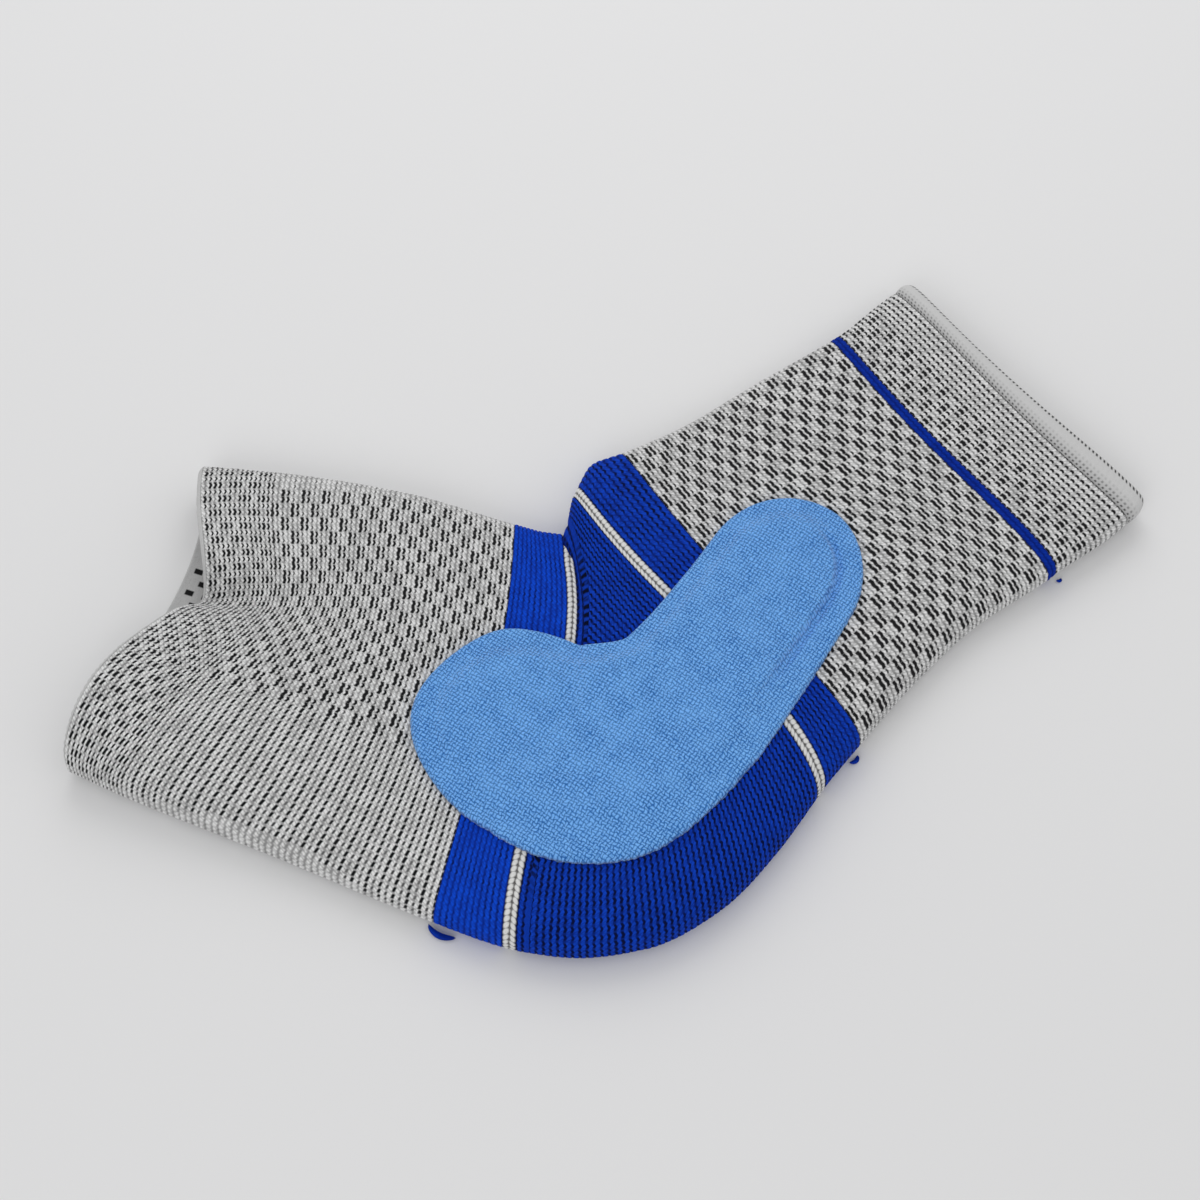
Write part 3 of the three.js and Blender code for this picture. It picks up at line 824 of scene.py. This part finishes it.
heel_knit = yarn_material("heel_knit", SHADED_BLUE_YARN, blue_chart(0.45, 0.8), 0, 0.08, joined=0.4)
heel_across = wale_values(HEEL_WALES)
heel = knit_mesh("heel_knit", [
    (first_points[:-GORE_ROWS], heel_across, first_course[:-GORE_ROWS] + FIRST_NUMBER, 0),
    (first_points[-GORE_ROWS - 1:], heel_across, first_course[-GORE_ROWS - 1:], 2),
    (short_points, heel_across, short_rows, 0),
    (np.stack([short_points[-1], heel_inner[0]]), heel_across, np.zeros(2), 1),
    (heel_inner, heel_across, np.linspace(HEEL_COURSES, 0, HEEL_INNER_ROWS), 1),
    (np.stack([heel_inner[-1], first_points[0]]), heel_across, np.zeros(2), 1),
], [heel_knit, blue_inside, gore_knit])
lay_knit(heel, "heel")

# Leg band: the blue yarn goes on above the heel, in the heel's darker copy of the blue, painted shade.
LEG_WALES = 104
LEG_BAND_COURSES = 9
leg_band_knit = yarn_material("leg_band_knit", SHADED_BLUE_YARN, blue_chart(0.3, 0.6), 0, 0.08, joined=0.4)
leg_band_leans = wale_leans(LEG_WALES, 0, BLUE_CHEVRON)
leg_band = knit_zone("leg_band_knit", "leg_band", "leg_sleeve", LEG_BAND_COURSES, leg_band_leans,
                     [leg_band_knit, blue_inside], straight=(True, True))
lay_knit(leg_band, "leg_band")

# Leg stripe: two courses of blue yarn set into the grey between the leg and its cuff.
# stitch tops, painted shade for the furrows and for the dashes in them
STRIPE_YARN = ((0.002, 0.03, 0.35), (0.001, 0.014, 0.19), (0.0006, 0.002, 0.02))
LEG_CHEVRON = 0.5
STRIPE_COURSES = 2


def stripe_chart(tree, column, row):
    return times(tree, maths(tree, "COMPARE", row, 1, 0.1), 0.12)


stripe_knit = yarn_material("stripe_knit", STRIPE_YARN, stripe_chart, 0, 0.08)
leg_leans = wale_leans(LEG_WALES, 0, LEG_CHEVRON)
leg_stripe = knit_zone("leg_stripe_knit", "leg_stripe", "leg_cuff", STRIPE_COURSES, leg_leans,
                       [stripe_knit, blue_inside])
lay_knit(leg_stripe, "leg_stripe")

# Leg sleeve: the grey knit round the lower leg, with the same checker of black floats as the instep.
LEG_COURSES = 46
LEG_FAR_WALE = 53
LEG_NEAR_WALE = 1.5
LEG_DARK = (1.5, 1.25)
LEG_FAINT = (0.4, 0.18)


def leg_chart(tree, column, row):
    signed = signed_wale(tree, column, LEG_WALES)
    above_fold = off_near_fold(tree, signed, LEG_NEAR_WALE)
    shown = times(tree, above_fold, off_far_fold(tree, column, LEG_FAR_WALE))
    chart = checker(tree, column, row, LEG_DARK, LEG_FAINT)
    return times(tree, chart, either(tree, shown, 1, PLAIN_SIDE))


leg_knit = yarn_material("leg_knit", GREY_YARN, leg_chart)
leg_sleeve = knit_zone("leg_sleeve_knit", "leg_sleeve", "leg_stripe", LEG_COURSES, leg_leans,
                       [leg_knit, grey_inside], straight=(True, False))
lay_knit(leg_sleeve, "leg_sleeve")

# Leg cuff: the end band at the leg opening, in the foot cuff's groups of ticks, which turn to small
# even ticks beside the hem.
LEG_CUFF_COURSES = 14
EVEN_COURSES = 6
EVEN_TICKS = 0.58
GROUP_STRENGTH = 1.2
LEG_CUFF_PLAIN_SIDE = 0.4


def leg_cuff_chart(tree, column, row):
    even = maths(tree, "GREATER_THAN", row, LEG_CUFF_COURSES - EVEN_COURSES)
    shown = off_near_fold(tree, signed_wale(tree, column, LEG_WALES), LEG_NEAR_WALE)
    groups = times(tree, tick_groups(tree, column, row), GROUP_STRENGTH)
    chart = either(tree, even, EVEN_TICKS, groups)
    return times(tree, chart, either(tree, shown, 1, LEG_CUFF_PLAIN_SIDE))


leg_cuff_knit = yarn_material("leg_cuff_knit", GREY_YARN, leg_cuff_chart)
leg_cuff = knit_zone("leg_cuff_knit", "leg_cuff", "leg_welt", LEG_CUFF_COURSES, leg_leans,
                     [leg_cuff_knit, grey_inside])
lay_knit(leg_cuff, "leg_cuff")

# Leg welt: the smooth rolled hem of the leg opening, knitted double and turned in, with rows
# of small dots where it joins the cuff, painted shade beside that join, and a line of holes along its
# outer edge, painted dark with the shade inside them.
WELT_SIDES = 24
WELT_BULGE = 1.6
WELT_RIB = 0.04
WELT_COLUMNS_A_WALE = 4
HOLES_A_WALE = 1.4
DOT_ROWS = 16
HOLE_LINE = 0.395
welt_columns = LEG_WALES * WELT_COLUMNS_A_WALE
welt_shares = np.arange(welt_columns) / welt_columns
welt_ends = (station_of["leg_welt"] + JOIN_GAP / 2, station_of["leg_rim"])
start_outer, start_inner, end_outer, end_inner = [
    on_lattice(face, np.full(welt_columns, station), welt_shares)
    for station in welt_ends
    for face in (outer_face, inner_face)
]
welt_middle = (start_outer + start_inner + end_outer + end_inner) / 4
welt_along = (end_outer + end_inner - start_outer - start_inner) / 4
welt_out = (start_outer + end_outer - start_inner - end_inner) / 4 * WELT_BULGE
welt_turn = np.arange(WELT_SIDES + 1) / WELT_SIDES
welt_ribs = 1 + WELT_RIB * np.cos(2 * np.pi * np.arange(welt_columns) / WELT_COLUMNS_A_WALE)[:, None]
welt_points = np.array([
    welt_middle - welt_along * math.cos(turn) + welt_out * math.sin(turn) * welt_ribs
    for turn in welt_turn * 2 * np.pi
])
welt_points[..., 2] = np.maximum(welt_points[..., 2], 0)

welt_yarn, tree, shader = new_material("welt_yarn", 0.85, 0.2, 0.1)
welt_wale, welt_round = stitch_place(tree)
from_hole = from_half(tree, times(tree, welt_wale, HOLES_A_WALE))
from_hole_line = apart(tree, welt_round, HOLE_LINE)
on_hole_line = eased(tree, from_hole_line, 0.015, 0.045, 1, 0)
shaded_hole = times(tree, eased(tree, from_hole, 0.12, 0.34, 1, 0), on_hole_line)
join_dots_and_shade = eased(tree, welt_round, 0.06, 0.27, 1, 0)
in_dot = eased(tree, from_half(tree, times(tree, welt_round, DOT_ROWS)), 0.1, 0.4, 1, 0)
welt_dot = times(tree, join_dots_and_shade, in_dot, eased(tree, from_hole, 0.1, 0.35, 1, 0))
fibre = noise(tree, 2600, 3)
colour = dyed(tree, fibre, (0.64, 0.64, 0.64), (0.52, 0.52, 0.52))
# Painted shade: darker beside the join with the cuff, where the roll meets it
colour = dyed(tree, times(tree, join_dots_and_shade, 0.4), colour, (0.25, 0.25, 0.25))
colour = dyed(tree, welt_dot, colour, (0.06, 0.06, 0.06))
# The holes are painted near black, the shade inside them
colour = dyed(tree, shaded_hole, colour, (0.03, 0.03, 0.03))
dress(tree, shader, colour, maths(tree, "SUBTRACT", fibre, shaded_hole), 0.3, 0.0002)
welt_across = np.arange(welt_columns + 1) / WELT_COLUMNS_A_WALE
leg_welt = knit_mesh("leg_welt_roll", [(welt_points, welt_across, welt_turn, 0)], [welt_yarn])
lay_knit(leg_welt, "leg_welt")

# Yarn tails: short loose ends of the blue yarn where the knitting changes colour, on the near fold.
# Each comes out of the seam, sags to the table and lies along the fold.
# where it starts along the fold, how far it goes along and out from it, its radius
TAILS = {
    "foot_band": (-1.6, 8.4, 2.0, 0.95),
    "leg_sleeve": (-4.6, 3.4, 1.2, 0.7),
    "leg_cuff": (1.0, 1.5, 0.8, 0.5),
}
TAIL_SIDES = 8
TAIL_STEPS = 16
TAIL_TURN = 0.85 * np.pi
TAIL_TUCK = 0.3


def tail_points(station, start, length, sag, radius):
    """A tube on the table along a bent line, from under the fold and back to it."""
    part = np.linspace(0, 1, TAIL_STEPS)
    root = on_lattice(outer_face, station + start + length * part, np.zeros(TAIL_STEPS))
    along = np.gradient(root, axis=0)
    along[:, 2] = 0
    along /= np.linalg.norm(along, axis=1, keepdims=True)
    out = np.stack([along[:, 1], -along[:, 0], np.zeros(TAIL_STEPS)], axis=-1)
    line = root + out * (sag * np.sin(part**0.8 * TAIL_TURN) - TAIL_TUCK)[:, None]
    line[:, 2] = radius
    way = np.gradient(line, axis=0)
    way /= np.linalg.norm(way, axis=1, keepdims=True)
    side = np.cross(way, (0, 0, 1.0))
    side /= np.linalg.norm(side, axis=1, keepdims=True)
    up = np.cross(side, way)
    turn = np.arange(TAIL_SIDES) / TAIL_SIDES * 2 * np.pi
    thickness = radius * np.sqrt(np.abs(np.sin(np.pi * part)))[:, None, None]
    spokes = side[:, None] * np.cos(turn)[:, None] + up[:, None] * np.sin(turn)[:, None]
    return line[:, None] + spokes * thickness


tail_across = np.linspace(0, 1, TAIL_SIDES + 1)
tail_patches = [
    (tail_points(station_of[name], *size), tail_across, np.linspace(0.3, 0.7, TAIL_STEPS), 0)
    for name, size in TAILS.items()
]
yarn_tails = knit_mesh("yarn_tails", tail_patches, [stripe_knit])
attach(yarn_tails, "root")

# Ankle pad: a boomerang-shaped gel cushion in a light-blue looped plush cover. It lies on the upper
# layer round the ankle bone, with a flat flange outside the swollen gel.
# x, y, half width on the instep side, half width on the heel side
PAD_SPINE = np.array([
    (-51, -44.5, 23, 24.5),
    (-27.5, -46, 29, 33),
    (0, -47, 24, 41.5),
    (22, -36.5, 20.5, 29.5),
    (65.5, 20, 23.5, 20),
])
PAD_FOOT_LOBE = 28.0
PAD_LEG_LOBE = 26.0
# reach from the spine (0) to the outline (1), height over the knit
PAD_RISE = np.array([(0, 4.6), (0.4, 4.5), (0.64, 4.1), (0.8, 2.3), (0.88, 2.0), (0.95, 1.9), (1, 1.4)])
CREASE_RISE = np.array([(0, 4.6), (0.4, 4.5), (0.6, 4.2), (0.68, 1.3), (0.75, 2.1), (0.95, 1.9), (1, 1.4)])
CREASE_START = (0.5, 0.72)
CREASE_SIDE = (-0.1, 0.4)
PAD_ROUND_EDGE = 0.962
PAD_LIFT = 0.05
PAD_STEP = 0.42
PAD_COLUMNS = 160
PAD_UNDER_COLUMNS = 24
EDGE_CROWDING = 0.3
PILE_PITCH = 1.25
PILE_RELIEF = 0.07
PAD_RAGGED = 0.18

pad_steps = np.linalg.norm(np.diff(PAD_SPINE[:, :2], axis=0), axis=1)
pad_places = np.concatenate([[0], np.cumsum(pad_steps)])
pad_length = pad_places[-1]
pad_slopes = np.empty_like(PAD_SPINE)
pad_slopes[0] = (PAD_SPINE[1] - PAD_SPINE[0]) / pad_steps[0]
pad_slopes[-1] = (PAD_SPINE[-1] - PAD_SPINE[-2]) / pad_steps[-1]
pad_slopes[1:-1] = (PAD_SPINE[2:] - PAD_SPINE[:-2]) / (pad_places[2:] - pad_places[:-2])[:, None]


def quarter_turn(radius):
    return np.linspace(0, np.pi / 2, round(radius * np.pi / 2 / PAD_STEP))


foot_lobe = PAD_FOOT_LOBE * (1 - np.cos(quarter_turn(PAD_FOOT_LOBE)))
leg_lobe = pad_length - PAD_LEG_LOBE * (1 - np.cos(quarter_turn(PAD_LEG_LOBE)))
straight_rows = round((pad_length - PAD_FOOT_LOBE - PAD_LEG_LOBE) / PAD_STEP)
straight = np.linspace(PAD_FOOT_LOBE, pad_length - PAD_LEG_LOBE, straight_rows)[1:-1]
pad_lengths = np.concatenate([foot_lobe, straight, leg_lobe[::-1]])
into_foot = np.clip(1 - pad_lengths / PAD_FOOT_LOBE, 0, 1)
into_leg = np.clip(1 - (pad_length - pad_lengths) / PAD_LEG_LOBE, 0, 1)
narrowing = np.sqrt((1 - into_foot**2) * (1 - into_leg**2))
pad_spine = values_along(pad_places, PAD_SPINE, pad_slopes, pad_lengths)
pad_ahead = values_along(pad_places, PAD_SPINE, pad_slopes, pad_lengths + 0.5)
pad_way = (pad_ahead - pad_spine)[:, :2]
pad_way /= np.linalg.norm(pad_way, axis=1, keepdims=True)
to_instep = np.stack([-pad_way[:, 1], pad_way[:, 0]], axis=-1)
pad_ragged = np.random.default_rng(8).uniform(-PAD_RAGGED, PAD_RAGGED, len(pad_lengths)) * narrowing
even_columns = np.linspace(-1, 1, PAD_COLUMNS + 1)
crowded_columns = np.sin(even_columns * np.pi / 2)
top_columns = (1 - EDGE_CROWDING) * even_columns + EDGE_CROWDING * crowded_columns
under_columns = np.linspace(1, -1, PAD_UNDER_COLUMNS + 1)[1:-1]

skin_rows = outer_face[::3, ::4]
skin_faces = grid_faces(0, len(skin_rows), skin_rows.shape[1] - 1)
skin = BVHTree.FromPolygons(skin_rows[:, :-1].reshape(-1, 3).tolist(), skin_faces.tolist())


def knit_height(places):
    down = Vector((0, 0, -1))
    heights = [skin.ray_cast(Vector((x, y, 100)), down)[0].z for x, y in places.reshape(-1, 2)]
    return np.array(heights).reshape(places.shape[:2])


def pile(x, y):
    """Loops of the plush in slanting rows, each a little out of place."""
    a = (x * 0.82 + y * 0.57) / PILE_PITCH
    b = (y * 0.82 - x * 0.57) / PILE_PITCH
    a = a + 0.35 * np.sin(b * 1.7 + 0.6 * np.sin(a * 0.37)) + 0.2 * np.sin(x * 0.9 + y * 0.4)
    b = b + 0.35 * np.sin(a * 1.3 + 0.8 * np.sin(b * 0.29)) + 0.2 * np.sin(y * 0.8 - x * 0.5)
    return np.cos(2 * np.pi * a) * np.cos(2 * np.pi * b)


def pad_rise(rises, reach):
    places, values = rises[:, 0], rises[:, 1:]
    within = np.minimum(reach, 1).ravel()
    return values_along(places, values, slopes_through(places, values), within).reshape(reach.shape)


def pad_side(columns, is_top):
    """The cushion's upper or under face, at shares of the half width across each row."""
    offsets = columns[None, :] * narrowing[:, None]
    half = np.where(offsets > 0, pad_spine[:, 2:3], pad_spine[:, 3:4])
    from_spine = offsets * half + pad_ragged[:, None] * (np.abs(columns) > 0.999)
    places = pad_spine[:, None, :2] + to_instep[:, None] * from_spine[..., None] - PLAN_MIDDLE
    height = knit_height(places) + PAD_LIFT
    if is_top:
        reach = np.sqrt(into_foot[:, None] ** 2 + into_leg[:, None] ** 2 + offsets**2)
        on_leg_lobe = smooth_step(*CREASE_START, pad_lengths / pad_length)[:, None]
        creased = on_leg_lobe * smooth_step(*CREASE_SIDE, -offsets)
        rise = pad_rise(PAD_RISE, reach) * (1 - creased) + pad_rise(CREASE_RISE, reach) * creased
        edge = np.clip((reach - PAD_ROUND_EDGE) / (1 - PAD_ROUND_EDGE), 0, 1)
        loft = rise + PILE_RELIEF * pile(places[..., 0], places[..., 1])
        height = height + loft * np.sqrt(1 - edge**2)
    return np.concatenate([places, height[..., None]], axis=-1)


pad_points = np.concatenate([pad_side(top_columns, True), pad_side(under_columns, False)], axis=1)

# Tufts of terry loops lie two ways, in small cells like a basket weave
TUFT_CELL = 1.05
TUFT_TURN = math.radians(-33)
plush, tree, shader = new_material("plush_cover", 0.9, 0.15, 0.2)


def turned_place(stretch):
    """The place on the cover, turned to the weave and scaled along its two ways."""
    place = tree.nodes.new("ShaderNodeTexCoord")
    turned = tree.nodes.new("ShaderNodeMapping")
    turned.vector_type = "TEXTURE"
    turned.inputs["Rotation"].default_value = (0, 0, TUFT_TURN)
    turned.inputs["Scale"].default_value = [size * MM for size in stretch]
    tree.links.new(place.outputs["Object"], turned.inputs["Vector"])
    return turned.outputs["Vector"]


def tufts(stretch):
    """Short streaks of pile, longer one way than the other."""
    streaks = tree.nodes.new("ShaderNodeTexNoise")
    streaks.inputs["Scale"].default_value = 1
    streaks.inputs["Detail"].default_value = 2
    tree.links.new(turned_place(stretch), streaks.inputs["Vector"])
    return streaks.outputs["Fac"]


split = tree.nodes.new("ShaderNodeSeparateXYZ")
tree.links.new(turned_place((TUFT_CELL, TUFT_CELL, TUFT_CELL)), split.inputs[0])
cell_a = scaled(tree, noise(tree, 420), 1.4, split.outputs["X"])
cell_b = scaled(tree, noise(tree, 520), 1.4, split.outputs["Y"])
cell = maths(tree, "ADD", maths(tree, "FLOOR", cell_a), maths(tree, "FLOOR", cell_b))
lies_across = is_even(tree, cell)
tuft = either(tree, lies_across, tufts((1.4, 0.4, 1)), tufts((0.4, 1.4, 1)))
from_loop = either(tree, lies_across, from_half(tree, cell_b), from_half(tree, cell_a))
# Loop tops painted lighter as a highlight and the gaps between loops darker as painted shade; the blotches
# and fuzz are the cover's own tone
loop_top = times(tree, eased(tree, from_loop, 0.1, 0.45, 1, 0), eased(tree, tuft, 0.3, 0.6, 0.5, 1))
fuzz = noise(tree, 2600, 3)
tone = scaled(tree, loop_top, 1.2, -0.65)
tone = scaled(tree, noise(tree, 150, 4), 0.7, tone)
tone = scaled(tree, fuzz, 0.7, tone)
colour = dyed(tree, tone, (0.02, 0.14, 0.46), (0.2, 0.5, 1.0))
dress(tree, shader, colour, scaled(tree, fuzz, 0.4, loop_top), 0.7, 0.0004)
pad_across = np.linspace(0, 1, pad_points.shape[1] + 1)
pad_along = np.linspace(0, 1, len(pad_points))
ankle_pad = knit_mesh("ankle_pad_plush", [(pad_points, pad_across, pad_along, 0)], [plush])
lay_knit(ankle_pad, "ankle_pad")
